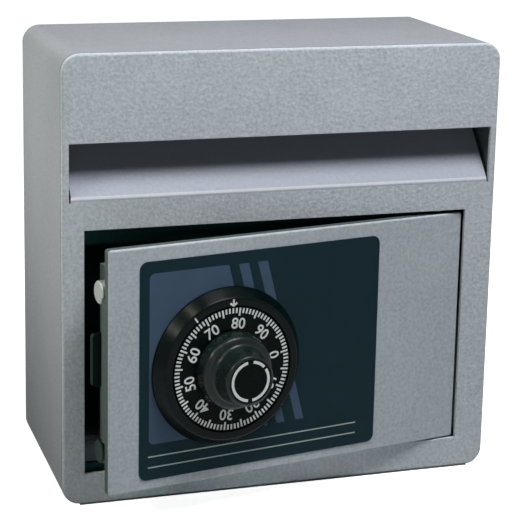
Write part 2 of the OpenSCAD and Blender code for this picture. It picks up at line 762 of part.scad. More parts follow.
module lever() color(brass) on_door() translate([dial_x, 0, dial_z]) {
    shoe = [for (i = [0:6]) let (a = shoe_a0 + (shoe_a1 - shoe_a0) * i / 6)
        [shoe_r * cos(a), shoe_r * sin(a)]];
    neck = [-shoe_r - lever_neck_r / 2 + 1.5, lever_top - lever_neck_r + 0.9];
    difference() {
        upright(lever_y, lever_y + lever_t) {
            hull() {
                translate([lever_px, lever_pin_up]) circle(lever_eye_r, $fn = 32);
                translate(neck) circle(lever_neck_r, $fn = 32);
            }
            polygon(concat(shoe, [[neck[0] + 1.5, neck[1] - 5], [neck[0], lever_top],
                [shoe[0][0] + 1.2, lever_top]]));
        }
        translate([lever_px, lever_y - over, lever_pin_up]) rotate([-90, 0, 0])
            cylinder(r = lever_pin_r + run_fit, h = lever_t + 2 * over, $fn = 32);
    }
    rotate([0, -fence_a, 0]) translate([shoe_r, lever_y + lever_t / 2, -fence_w / 2])
        cube([fence_w, wheel_y(2) + wheel_t + 1 - lever_y - lever_t / 2, fence_w]);
}

module dial() color(black) on_door() turned() polygon([[spindle_r + run_fit, dial_z0],
    [dial_r, dial_z0], [dial_r, dial_z1 - 0.4], [dial_r - 0.4, dial_z1],
    [spindle_r + run_fit, dial_z1]]);

module dial_knob() color(black) on_door() turned() translate([0, dial_z1]) polygon([
    [spindle_r + run_fit, 0], [knob_r, 0], [knob_r - 0.2, 1], [knob_r - 1, knob_base_h - 2.4],
    [knob_r - 1.5, knob_base_h - 1], [knob_r - 2.6, knob_base_h - 0.2], [knob_r - 4, knob_base_h],
    [knob_neck_r + 3, knob_base_h + 0.6], [knob_neck_r + 1.6, knob_base_h + 2.2],
    [knob_neck_r + 0.9, knob_base_h + 5], [knob_neck_r, knob_h - 1.2],
    [knob_neck_r - 0.4, knob_h - 0.4], [knob_neck_r - 1.2, knob_h], [cap_r + run_fit, knob_h],
    [cap_r + run_fit, knob_h - cap_recess], [spindle_r + run_fit, knob_h - cap_recess]]);

module knob_cap() color(black) on_door() turned() translate([0, knob_top]) polygon([
    [0, -cap_recess], [cap_r, -cap_recess], [cap_r, -0.4], [cap_r - 0.3, -0.2], [0, -0.2]]);

module spindle() color(steel) on_door() turned() translate([0, -cam_y - cam_t - cam_hub_h])
    square([spindle_r, cam_y + cam_t + cam_hub_h + knob_top - cap_recess - 2]);

module drive_cam() color(brass) on_door() difference() {
    union() {
        turned() polygon([[spindle_r + run_fit, -cam_y], [cam_r, -cam_y], [cam_r, -cam_y - cam_t],
            [cam_hub_r, -cam_y - cam_t], [cam_hub_r, -cam_y - cam_t - cam_hub_h],
            [spindle_r + run_fit, -cam_y - cam_t - cam_hub_h]]);
        translate([dial_x - driver_r, cam_y + cam_t - over, dial_z]) rotate([-90, 0, 0])
            cylinder(r = driver_pin_r, h = over + 1.6, $fn = 32);
    }
    translate([dial_x, 0, dial_z]) upright(cam_y - over, cam_y + cam_t + over)
        gate(shoe_a0 - 11, shoe_a1 + 10, cam_r - gate_depth);
}

// Wheel n with its gate, its fly towards the dial and its driving pin away from it
module wheel(n) {
    lead = 2 * asin((driver_pin_r + pass_gap / 2) / driver_r);
    last = n == 2;
    translate([dial_x, 0, dial_z]) {
        upright(wheel_y(n), wheel_y(n) + wheel_t) difference() {
            circle(wheel_r, $fn = 96);
            circle(post_r + run_fit, $fn = 64);
            gate(fence_a - 8, fence_a + 12, wheel_r - gate_depth);
        }
        rotate([0, lead * (n + 1), 0]) translate([-driver_r, wheel_y(n) - 1.6, 0]) rotate([-90, 0, 0])
            cylinder(r = driver_pin_r, h = 1.6 + wheel_t / 2, $fn = 32);
        if (!last) rotate([0, lead * (n + 1), 0]) translate([-driver_r, wheel_y(n) + wheel_t / 2, 0])
            rotate([-90, 0, 0]) cylinder(r = driver_pin_r, h = wheel_t / 2 + 1.6, $fn = 32);
    }
}

module wheel_1() color(brass) on_door() wheel(2);

module wheel_2() color(brass) on_door() wheel(1);

module wheel_3() color(brass) on_door() wheel(0);

body_shell();
front_plate();
back_plate();
fishing_baffle();
baffle_strip();
jamb_bar_left();
jamb_bar_right();
door_stop_top();
door_stop_bottom();
hinge_bracket_top();
hinge_bracket_bottom();
hinge_pin_top();
hinge_pin_bottom();
hinge_washer();
door_plate();
door_label();
door_edge_bar();
bolt_guide();
hinge_lug_top();
hinge_lug_bottom();
dial_ring();
dial_ring_screws();
spindle_tube();
hard_plate();
lock_case();
lock_cover();
lock_screws();
wheel_post();
wheel_spacers();
bolt_bar();
locking_bolt_top();
locking_bolt_bottom();
centre_bolt();
lock_bolt();
bolt_bar_screws();
lever_pin();
lever();
dial();
dial_knob();
knob_cap();
spindle();
drive_cam();
wheel_1();
wheel_2();
wheel_3();
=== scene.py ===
import json
import math

import bmesh
import bpy
from mathutils import Matrix, Vector


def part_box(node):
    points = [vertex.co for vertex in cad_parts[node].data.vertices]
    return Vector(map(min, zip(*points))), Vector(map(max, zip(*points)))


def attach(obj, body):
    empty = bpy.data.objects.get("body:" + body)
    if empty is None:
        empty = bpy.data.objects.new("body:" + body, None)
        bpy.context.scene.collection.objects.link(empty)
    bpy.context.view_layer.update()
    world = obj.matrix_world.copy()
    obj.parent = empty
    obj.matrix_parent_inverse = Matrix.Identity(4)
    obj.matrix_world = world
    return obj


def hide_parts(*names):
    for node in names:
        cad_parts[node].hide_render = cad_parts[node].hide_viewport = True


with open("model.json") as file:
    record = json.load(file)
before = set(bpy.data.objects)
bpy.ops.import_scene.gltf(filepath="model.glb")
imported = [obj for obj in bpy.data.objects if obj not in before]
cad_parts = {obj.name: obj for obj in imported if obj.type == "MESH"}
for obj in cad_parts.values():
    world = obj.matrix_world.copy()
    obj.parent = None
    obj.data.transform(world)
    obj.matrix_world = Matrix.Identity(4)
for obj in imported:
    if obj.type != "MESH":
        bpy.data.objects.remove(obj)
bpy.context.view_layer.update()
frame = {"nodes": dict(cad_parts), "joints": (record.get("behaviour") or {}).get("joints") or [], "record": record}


# Cabinet wrap: one steel sheet, 3 mm thick, folded round four long corners of 11 mm radius to make
# the top, the bottom and both sides. The bottom is drilled for four anchors. It is sprayed outside
# with finely hammered light grey paint, painted darker than the front plate's as painted shade on
# the top and the sides, and thinly inside with a darker green-grey that is painted shade too.
sheet = 0.003
corner = 0.011
back_round = 0.0006
anchor_x, anchor_y, anchor_radius = 0.1, 0.035, 0.00525
wrap_shaded_grey = (0.232, 0.244, 0.265)
lining_shade_grey = (0.110, 0.140, 0.145)
near = 1e-5


def activate(piece):
    """Selects one piece alone and makes it the active one."""
    bpy.ops.object.select_all(action="DESELECT")
    piece.select_set(True)
    bpy.context.view_layer.objects.active = piece


def pick(kind, test):
    """In edit mode, selects the edges or faces whose middle passes the test."""
    mesh = bmesh.from_edit_mesh(bpy.context.object.data)
    bpy.ops.mesh.select_mode(type=kind)
    bpy.ops.mesh.select_all(action="DESELECT")
    if kind == "EDGE":
        for e in mesh.edges:
            e.select_set(test((e.verts[0].co + e.verts[1].co) / 2))
    else:
        for f in mesh.faces:
            f.select_set(test(f.calc_center_median()))
    mesh.select_flush_mode()
    bmesh.update_edit_mesh(bpy.context.object.data)


def block(name, low, high):
    """A plain box between two corners, to be shaped further."""
    bpy.ops.object.select_all(action="DESELECT")
    bpy.ops.mesh.primitive_cube_add(size=1)
    piece = bpy.context.object
    piece.name = piece.data.name = name
    piece.scale = Vector(high) - Vector(low)
    piece.location = (Vector(high) + Vector(low)) / 2
    bpy.ops.object.transform_apply(location=True, rotation=True, scale=True)
    return piece


def apply(piece, kind, **values):
    """Adds one modifier to a piece and applies it."""
    activate(piece)
    modifier = piece.modifiers.new(kind.title(), kind)
    for key, value in values.items():
        setattr(modifier, key, value)
    bpy.ops.object.modifier_apply(modifier=modifier.name)


def cut(piece, tool):
    """Cuts a tool's shape out of a piece and drops the tool."""
    apply(piece, "BOOLEAN", operation="DIFFERENCE", solver="EXACT", object=tool)
    bpy.data.objects.remove(tool)


def drill(piece, at, along, radius, depth):
    """Cuts a round hole, centred on a point, along an axis."""
    bpy.ops.object.select_all(action="DESELECT")
    bpy.ops.mesh.primitive_cylinder_add(vertices=48, radius=radius, depth=depth, location=at)
    tool = bpy.context.object
    tool.rotation_mode = "QUATERNION"
    tool.rotation_quaternion = Vector(along).to_track_quat("Z", "Y")
    bpy.ops.object.transform_apply(location=True, rotation=True, scale=True)
    cut(piece, tool)


def ease(piece, test, radius, segments):
    """Rounds the edges whose middle passes the test."""
    activate(piece)
    bpy.ops.object.mode_set(mode="EDIT")
    pick("EDGE", test)
    bpy.ops.mesh.bevel(offset=radius, segments=segments, profile=0.5, affect="EDGES")
    bpy.ops.object.mode_set(mode="OBJECT")


def long_corners(low, high):
    """A test for the four edges of a box that run from its front to its back."""
    return lambda p: abs(abs(p.x) - high.x) < near and min(p.z - low.z, high.z - p.z) < near


def smooth(piece, degrees=35):
    """Smooths a piece's shading, except across edges sharper than the angle, and keeps its flats flat."""
    activate(piece)
    bpy.ops.object.shade_smooth_by_angle(angle=math.radians(degrees))
    apply(piece, "WEIGHTED_NORMAL", keep_sharp=True)


def add_node(tree, kind, inputs=None, **settings):
    """Adds a shader node, with its settings, and feeds its inputs with values or other outputs."""
    node = tree.nodes.new("ShaderNode" + kind)
    for key, value in settings.items():
        setattr(node, key, value)
    for key, value in (inputs or {}).items():
        if isinstance(value, bpy.types.NodeSocket):
            tree.links.new(value, node.inputs[key])
        else:
            node.inputs[key].default_value = value
    return node


def maths(tree, operation, *terms):
    """The outcome of an operation on numbers or outputs."""
    return add_node(tree, "Math", dict(enumerate(terms)), operation=operation).outputs["Value"]


def new_finish(name):
    """An empty finish: itself, its nodes, its shader's inputs and the piece's own coordinates."""
    finish = bpy.data.materials.new(name)
    finish.use_nodes = True
    tree = finish.node_tree
    place = add_node(tree, "TexCoord").outputs["Object"]
    return finish, tree, tree.nodes["Principled BSDF"].inputs, place


def tone(colour, strength):
    """A darker or lighter tone of a colour."""
    return [c * strength for c in colour]


def two_tones(tree, pattern, dark, light):
    """Colours a finish between two tones, each with its place on the pattern."""
    shades = add_node(tree, "ValToRGB", {"Fac": pattern})
    for element, (at, colour) in zip(shades.color_ramp.elements, (dark, light)):
        element.position = at
        element.color = (*colour, 1)
    tree.links.new(shades.outputs["Color"], tree.nodes["Principled BSDF"].inputs["Base Color"])


def hammered_paint(name, colour, speck, bump, crumb=0.6):
    """Sprayed paint with a fine hammered grain and faint clouds."""
    finish, tree, surface, place = new_finish(name)
    noise = {"Vector": place, "Scale": 480, "Detail": 3, "Roughness": crumb}
    grain = add_node(tree, "TexNoise", noise).outputs["Fac"]
    dimple = add_node(tree, "TexVoronoi", {"Vector": place, "Scale": 420}).outputs["Distance"]
    cloud = add_node(tree, "TexNoise", {"Vector": place, "Scale": 22, "Detail": 2}).outputs["Fac"]
    mottle = maths(tree, "MULTIPLY_ADD", cloud, 0.25, grain)
    two_tones(tree, mottle, (0.40, tone(colour, 1 - speck)), (0.85, tone(colour, 1 + speck)))
    surface["Roughness"].default_value = 0.5
    surface["Specular IOR Level"].default_value = 0.01
    height = maths(tree, "MULTIPLY_ADD", dimple, 0.6, grain)
    relief = add_node(tree, "Bump", {"Strength": bump, "Distance": 0.0006, "Height": height})
    tree.links.new(relief.outputs["Normal"], surface["Normal"])
    return finish


def coat(material, *pieces):
    """Gives pieces one finish all over."""
    for piece in pieces:
        piece.data.materials.clear()
        piece.data.materials.append(material)


def coat_faces(piece, material, test):
    """Gives another finish to the faces whose middle passes the test."""
    activate(piece)
    piece.data.materials.append(material)
    piece.active_material_index = len(piece.data.materials) - 1
    bpy.ops.object.mode_set(mode="EDIT")
    pick("FACE", test)
    bpy.ops.object.material_slot_assign()
    bpy.ops.object.mode_set(mode="OBJECT")


def faces_inward(p):
    """Tells whether a face of the wrap lies on its inner side."""
    middle_z = (low.z + high.z) / 2
    over_x = max(abs(p.x) - high.x + corner, 0)
    over_z = max(abs(p.z - middle_z) - high.z + middle_z + corner, 0)
    return math.hypot(over_x, over_z) < corner - sheet / 2


# The wrap's grey is a darker tone of the front plate's paint: painted shade on the top and the sides.
wrap_paint = hammered_paint("wrap_paint", wrap_shaded_grey, speck=0.10, bump=0.22)
# The wrap's inner faces get a darker green-grey: painted shade inside the cabinet.
lining_shade_paint = hammered_paint("lining_shade_paint", lining_shade_grey, speck=0.12, bump=0.25)
low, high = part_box("body_shell")
wrap = block("cabinet_wrap", low, high)
bpy.ops.object.mode_set(mode="EDIT")
pick("FACE", lambda p: min(p.y - low.y, high.y - p.y) < near)
bpy.ops.mesh.delete(type="FACE")
bpy.ops.object.mode_set(mode="OBJECT")
ease(wrap, long_corners(low, high), corner, segments=14)
apply(wrap, "SOLIDIFY", thickness=sheet, offset=-1, use_even_offset=True)
for x in (-anchor_x, anchor_x):
    for y in (-anchor_y, anchor_y):
        drill(wrap, (x, y, low.z + sheet / 2), (0, 0, 1), anchor_radius, 4 * sheet)
ease(wrap, lambda p: abs(p.y - high.y) < near, back_round, segments=3)
smooth(wrap)
coat(wrap_paint, wrap)
coat_faces(wrap, lining_shade_paint, faces_inward)
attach(wrap, "cabinet")
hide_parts("body_shell")


# Front plate: a flat sheet welded to the front of the wrap and ground round its outer edge. The slot
# and the door opening are cut out, and a strip at the slot's foot is bent inwards and rises into the
# cabinet as the deposit flap. Its paint is coarse and smoother on the flap. The flap is painted darker
# than the plate as painted shade, the front of the fold paler as a painted highlight, and the back
# faces dark green as painted shade.
slot_left, slot_right, slot_foot, slot_head = -0.1355, 0.1355, 0.1913, 0.2263
mouth_left, mouth_right, mouth_foot, mouth_head = -0.1264, 0.1204, 0.0195, 0.1735
flap_half, flap_long, flap_rise, flap_ceiling = 0.1343, 0.046, math.radians(48), 0.2363
bend = 0.004
relief_deep, relief_overlap = 0.0008, 0.001
plate_round, cut_round = 0.0018, 0.0003
hair = 0.0001
# Where the painted highlight on the fold starts above the slot's foot, and how deep it reaches.
highlight_foot, highlight_deep = 0.0012, 0.001
paint_reach = 0.7 * sheet
# A very dark green for inner faces: painted shade inside the cabinet.
inside_shade_green = (0.016, 0.062, 0.060)
low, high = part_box("front_plate")
front_y = low.y
plate = block("front_sheet_and_flap", low, (high.x, front_y + sheet, high.z))
ease(plate, long_corners(low, high), corner, segments=14)
ease(plate, lambda p: abs(p.y - front_y) < near, plate_round, segments=5)


def punch(left, right, foot, head):
    """Cuts an upright rectangle right through the front sheet."""
    over = 0.01
    tool = block("punch", (left, front_y - over, foot), (right, front_y + sheet + over, head))
    cut(plate, tool)


punch(slot_left, slot_right, slot_foot, slot_head)
for side in (slot_left, flap_half):
    punch(side, side + slot_right - flap_half, slot_foot - relief_deep, slot_foot + relief_overlap)
punch(mouth_left, mouth_right, mouth_foot, mouth_head)
bpy.ops.object.mode_set(mode="EDIT")
pick("FACE", lambda p: abs(p.z - slot_foot) < near and abs(p.x) < flap_half / 2)
bpy.ops.mesh.spin(steps=10, angle=math.pi / 2 - flap_rise, center=(0, front_y + bend, slot_foot),
                  axis=(1, 0, 0))
bpy.ops.mesh.extrude_region_move(TRANSFORM_OT_translate={
    "value": (0, flap_long * math.cos(flap_rise), flap_long * math.sin(flap_rise))})
bpy.ops.object.mode_set(mode="OBJECT")
apply(plate, "BEVEL", width=cut_round, segments=2, limit_method="ANGLE", angle_limit=math.radians(60))
smooth(plate)


def on_flap(p):
    """Tells whether a face belongs to the flap and its fold, above the slot's foot."""
    return (abs(p.x) < flap_half - hair and slot_foot + hair < p.z < flap_ceiling
            and p.y > front_y + near / 2)


def on_fold(p):
    """Tells whether a face lies on the front of the flap's fold, where a highlight is painted."""
    return (abs(p.x) < flap_half - hair and slot_foot + highlight_foot < p.z < slot_foot + bend
            and front_y < p.y < front_y + highlight_deep)


inside_shade_paint = hammered_paint("inside_shade_paint", inside_shade_green, speck=0.12, bump=0.25)
plate_paint = hammered_paint("plate_paint", (0.430, 0.462, 0.500), speck=0.18, bump=0.39)
# The flap's paint is a darker tone than the plate it is bent from: painted shade.
flap_shade_paint = hammered_paint("flap_shade_paint", (0.313, 0.332, 0.390), speck=0.06, bump=0.12)
# A paler paint on the front of the fold: a painted highlight along the lip.
fold_highlight_paint = hammered_paint("fold_highlight_paint", (0.460, 0.470, 0.500), speck=0.06, bump=0.12)
coat(plate_paint, plate)
# The plate's back and the inner part of its cut edges get the dark green: painted shade.
coat_faces(plate, inside_shade_paint, lambda p: p.y > front_y + paint_reach)
coat_faces(plate, flap_shade_paint, on_flap)
coat_faces(plate, fold_highlight_paint, on_fold)
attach(plate, "cabinet")
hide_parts("front_plate")


# Inside of the cabinet: the back sheet, the toothed baffle that stops reaching in, the bars that
# frame the opening, the folded stops, and the hinge brackets, all welded in. They are painted a very
# dark green, as painted shade inside the cabinet. Only the back sheet's outer face carries the wrap's grey paint.
coat(inside_shade_paint, *[frame["nodes"][n] for n in (
    "fishing_baffle", "baffle_strip", "jamb_bar_left", "jamb_bar_right", "door_stop_top",
    "door_stop_bottom", "hinge_bracket_top", "hinge_bracket_bottom")])
outer_skin = 0.0005
back_paint = hammered_paint("back_paint", wrap_shaded_grey, speck=0.10, bump=0.22)
tree = back_paint.node_tree
place = add_node(tree, "TexCoord").outputs["Object"]
place_y = add_node(tree, "SeparateXYZ", {"Vector": place}).outputs["Y"]
outside = maths(tree, "GREATER_THAN", place_y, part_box("back_plate")[1].y - outer_skin)
# Apart from the back sheet's outer face, its paint is the dark green of painted shade.
two_tones(tree, outside, (0, inside_shade_green), (1, wrap_shaded_grey))
coat(back_paint, frame["nodes"]["back_plate"])


# Door plate: 6 mm steel, flush with the front when closed, and turned on a hidden pivot. Its front
# edges are eased, and its paint is a touch smoother and a little darker than the cabinet's, the
# darker tone a painted shade. Its edges, its back and the bars and lugs welded to it are painted near
# black: painted shade in the gap behind the open door.
corner_round, face_round = 0.0016, 0.0012
spindle_hole = 0.0061
painted_deep = 0.0013
through = 0.03
hinge = next(j for j in frame["joints"] if j["name"] == "door_hinge")
pivot = Vector(hinge["pos_m"])
ajar = math.radians(-hinge["range_deg"][0])
swing = Matrix.Translation(pivot) @ Matrix.Rotation(ajar, 4, "Z") @ Matrix.Translation(-pivot)
shut = swing.inverted()
# The door's paint is a little darker than the front plate's: painted shade.
door_paint = hammered_paint("door_paint", (0.378, 0.412, 0.450), speck=0.13, bump=0.15, crumb=0.45)
# A near black paint for the door's edges and back and the parts on it: painted shade.
edge_shade_paint = hammered_paint("edge_shade_paint", (0.065, 0.083, 0.083), speck=0.12, bump=0.25)


def closed_box(node):
    """A door node's box with the door shut, as lowest and highest corner."""
    points = [shut @ v.co for v in frame["nodes"][node].data.vertices]
    return (Vector([min(p[i] for p in points) for i in range(3)]),
            Vector([max(p[i] for p in points) for i in range(3)]))


def hang(piece, body, material, *nodes):
    """Swings a piece made on the shut door to where the door stands, and fixes it to its body."""
    piece.data.transform(swing)
    coat(material, piece)
    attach(piece, body)
    if nodes:
        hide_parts(*nodes)


low, high = closed_box("door_plate")
door_front = low.y
door = block("door_leaf", low, high)
ease(door, lambda p: abs(p.y - (low.y + high.y) / 2) < near, corner_round, segments=6)
ease(door, lambda p: abs(p.y - door_front) < near, face_round, segments=5)
ring_low, ring_high = closed_box("dial_ring")
dial_at = Vector(((ring_low.x + ring_high.x) / 2, door_front, (ring_low.z + ring_high.z) / 2))
drill(door, dial_at, (0, 1, 0), spindle_hole, through)
smooth(door)
hang(door, "door", door_paint, "door_plate")
coat_faces(door, edge_shade_paint, lambda p: (shut @ p).y > door_front + painted_deep)
coat(edge_shade_paint, *[frame["nodes"][n] for n in (
    "door_edge_bar", "bolt_guide", "hinge_lug_top", "hinge_lug_bottom")])


# Label plate: a thin plate with rounded corners, screen printed. On its very dark green-blue ground
# there are only a muted blue field with two slanted bars, and two fine pale rules below. The places
# of the prints are in millimetres.
label_round, label_edge, label_hole = 0.005, 0.00015, 0.0062
film = 0.00004
rule_left, rule_right, rule_high = -100.5, 43.0, 0.8


def screen_print(name, colour, roughness, gloss):
    """Printed ink or paint with faint unevenness."""
    finish, tree, surface, place = new_finish(name)
    haze = add_node(tree, "TexNoise", {"Vector": place, "Scale": 60, "Detail": 4}).outputs["Fac"]
    two_tones(tree, haze, (0.35, tone(colour, 0.95)), (0.65, tone(colour, 1.05)))
    surface["Roughness"].default_value = roughness
    surface["Specular IOR Level"].default_value = gloss
    return finish


def printed(name, corners, ink):
    """A flat print on the label, from its corners in millimetres on the shut door."""
    bpy.ops.object.select_all(action="DESELECT")
    bpy.ops.mesh.primitive_circle_add(vertices=len(corners), radius=1, fill_type="NGON")
    piece = bpy.context.object
    piece.name = piece.data.name = name
    for v, (x, z) in zip(piece.data.vertices, corners):
        v.co = (x / 1000, label_front, z / 1000)
    bpy.ops.object.mode_set(mode="EDIT")
    bpy.ops.mesh.select_all(action="SELECT")
    bpy.ops.mesh.extrude_region_move(TRANSFORM_OT_translate={"value": (0, -film, 0)})
    bpy.ops.mesh.select_all(action="SELECT")
    bpy.ops.mesh.normals_make_consistent(inside=False)
    bpy.ops.object.mode_set(mode="OBJECT")
    hang(piece, "door", ink)


def round_corner(x, z, radius, start):
    """The points of a quarter circle about a point, every 15 degrees from the start angle."""
    angles = [math.radians(start + 15 * step) for step in range(7)]
    return [(x + radius * math.cos(a), z + radius * math.sin(a)) for a in angles]


label_ground = screen_print("label_ground", (0.0075, 0.0215, 0.0280), roughness=0.5, gloss=0.04)
label_blue = screen_print("label_blue", (0.048, 0.078, 0.125), roughness=0.5, gloss=0.05)
label_rule = screen_print("label_rule", (0.33, 0.38, 0.38), roughness=0.5, gloss=0.05)
low, high = closed_box("door_label")
label_front = low.y
label = block("label_plate", low, high)
ease(label, lambda p: abs(p.y - (low.y + high.y) / 2) < near, label_round, segments=8)
ease(label, lambda p: abs(p.y - label_front) < near, label_edge, segments=2)
drill(label, dial_at, (0, 1, 0), label_hole, through)
smooth(label)
hang(label, "door", label_ground, "door_label")
printed("label_field", [*round_corner(-96.5, 151.3, 3.5, 90), *round_corner(-96.5, 52.5, 3.5, 180),
                        (-20.0, 49.0), (-48.3, 154.8)], label_blue)
printed("label_bar_wide", [(-41.7, 154.5), (-13.6, 49.6), (-8.1, 49.6), (-35.1, 154.5)], label_blue)
printed("label_bar_narrow", [(-28.9, 154.5), (-0.4, 49.8), (5.2, 49.8), (-22.2, 154.5)], label_blue)
for name, foot in (("label_rule_upper", 40.9), ("label_rule_lower", 34.1)):
    head = foot + rule_high
    printed(name, [(rule_left, foot), (rule_right, foot), (rule_right, head), (rule_left, head)],
            label_rule)


# Bolts, pins and lock: round and flat steel with a dull plating. The flat bolt and the lower round
# one are painted near black, as painted shade where they sit in the door's shadow. The lock has a cast
# zinc case, and its wheels, cam, lever and own bolt are brass, like the spindle's tube and the hinge's washer.
def uneven_gloss(tree, pattern, finest, coarsest):
    """Makes a finish's roughness follow a pattern."""
    gloss = add_node(tree, "MapRange", {"Value": pattern, "To Min": finest, "To Max": coarsest})
    tree.links.new(gloss.outputs["Result"], tree.nodes["Principled BSDF"].inputs["Roughness"])


def plated(name, colour, roughness, streak):
    """Dull metal with faint streaks and a slightly uneven gloss."""
    finish, tree, surface, place = new_finish(name)
    surface["Metallic"].default_value = 1.0
    stretch = add_node(tree, "Mapping", {"Vector": place, "Scale": (streak, streak, 60)})
    noise = {"Vector": stretch.outputs["Vector"], "Scale": 4, "Detail": 5}
    cloud = add_node(tree, "TexNoise", noise).outputs["Fac"]
    two_tones(tree, cloud, (0.3, tone(colour, 0.86)), (0.7, colour))
    uneven_gloss(tree, cloud, roughness - 0.06, roughness + 0.06)
    return finish


metals = {
    "bright_steel": plated("bright_steel", (0.26, 0.27, 0.255), roughness=0.58, streak=60),
    "brass": plated("brass", (0.72, 0.55, 0.26), roughness=0.30, streak=30),
    "lock_zinc": plated("lock_zinc", (0.58, 0.59, 0.57), roughness=0.50, streak=40)}
for part in frame["record"]["subparts"]:
    if part["material_slot"] in metals:
        coat(metals[part["material_slot"]], frame["nodes"][part["node"]])
# Near black steel for the flat bolt and the lower round bolt: painted shade in the door's shadow.
shaded_dark_steel = plated("shaded_dark_steel", (0.010, 0.020, 0.016), roughness=0.62, streak=60)
coat(shaded_dark_steel, frame["nodes"]["centre_bolt"], frame["nodes"]["locking_bolt_bottom"])


# Dial ring: a turned collar fixed to the door round the dial, gloss black. Its side slopes in to a
# flat rim, which carries a white arrow at the top and a short mark to its left. The sizes of the
# ring, the dial and the knob are in millimetres, with heights above the door's face.
turned_sides = 128
tube_bore, rim_top = 6.15, 9.0
shaft_half, arrow_half, arrow_radius = 0.5, 2.0, 41.7
barb_half, barb_long, barb_lean = 0.6, 2.8, 52
side_half, side_half_long, side_radius, side_turn = 0.5, 1.7, 41.6, -36


def moulded_black(name, colour, roughness, gloss):
    """Black moulded plastic with faint handling marks in its gloss."""
    finish, tree, surface, place = new_finish(name)
    surface["Specular IOR Level"].default_value = gloss
    wear = add_node(tree, "TexNoise", {"Vector": place, "Scale": 160, "Detail": 6}).outputs["Fac"]
    two_tones(tree, wear, (0.35, tone(colour, 0.8)), (0.7, tone(colour, 1.3)))
    uneven_gloss(tree, wear, roughness - 0.05, roughness + 0.08)
    return finish


def turn(name, rings):
    """Turns a piece about the dial's axis, from pairs of radius and height above the door."""
    bpy.ops.object.select_all(action="DESELECT")
    radius, height = rings[0]
    bpy.ops.mesh.primitive_circle_add(vertices=turned_sides, radius=radius / 1000,
                                      location=(0, 0, height / 1000))
    piece = bpy.context.object
    piece.name = piece.data.name = name
    bpy.ops.object.transform_apply(location=True, rotation=True, scale=True)
    bpy.ops.object.mode_set(mode="EDIT")
    bpy.ops.mesh.select_all(action="SELECT")
    for r, h in rings[1:]:
        bpy.ops.mesh.extrude_region_move(TRANSFORM_OT_translate={"value": (0, 0, (h - height) / 1000)})
        bpy.ops.transform.resize(value=(r / radius, r / radius, 1), center_override=(0, 0, 0))
        radius, height = r, h
    return piece


def close_turned(piece, merge=False):
    """Closes a turned piece, on its axis or on itself, and lays its axis along the dial's."""
    if merge:
        bpy.ops.mesh.select_all(action="SELECT")
        bpy.ops.mesh.remove_doubles(threshold=1e-6)
    else:
        mesh = bmesh.from_edit_mesh(piece.data)
        bpy.ops.mesh.select_all(action="DESELECT")
        bpy.ops.mesh.select_mode(type="EDGE")
        for e in mesh.edges:
            e.select_set(e.is_boundary)
        bmesh.update_edit_mesh(piece.data)
        bpy.ops.mesh.edge_face_add()
    bpy.ops.mesh.select_all(action="SELECT")
    bpy.ops.mesh.normals_make_consistent(inside=False)
    bpy.ops.object.mode_set(mode="OBJECT")
    piece.data.transform(Matrix.Translation(dial_at) @ Matrix.Rotation(math.radians(90), 4, "X"))
    smooth(piece, degrees=30)


def on_dial(piece, clockwise, radius, height):
    """Lays a flat mark, drawn upright about the origin, on the dial or its ring."""
    turned_by = Matrix.Rotation(math.radians(clockwise), 4, "Y")
    seat = Matrix.Translation(dial_at + Vector((0, -height / 1000, 0)))
    piece.data.transform(seat @ turned_by @ Matrix.Translation((0, 0, radius / 1000)))


def mark(name, left, right, foot, head):
    """A thin raised bar of paint, upright about the origin, in millimetres."""
    return block(name, (left / 1000, -2 * film, foot / 1000), (right / 1000, film, head / 1000))


def join(pieces, name):
    """Makes one piece of several."""
    activate(pieces[0])
    for piece in pieces:
        piece.select_set(True)
    bpy.ops.object.join()
    pieces[0].name = pieces[0].data.name = name
    return pieces[0]


collar_black = moulded_black("collar_black", (0.0003, 0.0030, 0.0028), roughness=0.20, gloss=0.06)
white_fill = screen_print("white_fill", (0.62, 0.64, 0.64), roughness=0.5, gloss=0.3)
ring = turn("dial_collar", [
    (tube_bore, 0.5), (49.3, 0.5), (49.5, 0.7), (49.5, 1.5), (49.3, 2.0), (45.1, 7.7), (44.8, 8.2),
    (44.4, 8.6), (43.9, 8.9), (43.2, rim_top), (40.0, rim_top), (39.6, 8.85), (39.4, 8.5), (39.4, 2.5),
    (tube_bore, 2.5), (tube_bore, 0.5)])
close_turned(ring, merge=True)
hang(ring, "door", collar_black, "dial_ring")
strokes = [mark("arrow_shaft", -shaft_half, shaft_half, -arrow_half, arrow_half)]
for lean in (barb_lean, -barb_lean):
    barb = mark("arrow_barb", -barb_half, barb_half, 0, barb_long)
    barb.data.transform(Matrix.Translation((0, 0, -arrow_half / 1000))
                        @ Matrix.Rotation(math.radians(lean), 4, "Y"))
    strokes.append(barb)
arrow = join(strokes, "ring_arrow")
on_dial(arrow, 0, arrow_radius, rim_top)
hang(arrow, "door", white_fill)
side_mark = mark("ring_side_mark", -side_half, side_half, -side_half_long, side_half_long)
on_dial(side_mark, side_turn, side_radius, rim_top)
hang(side_mark, "door", white_fill)


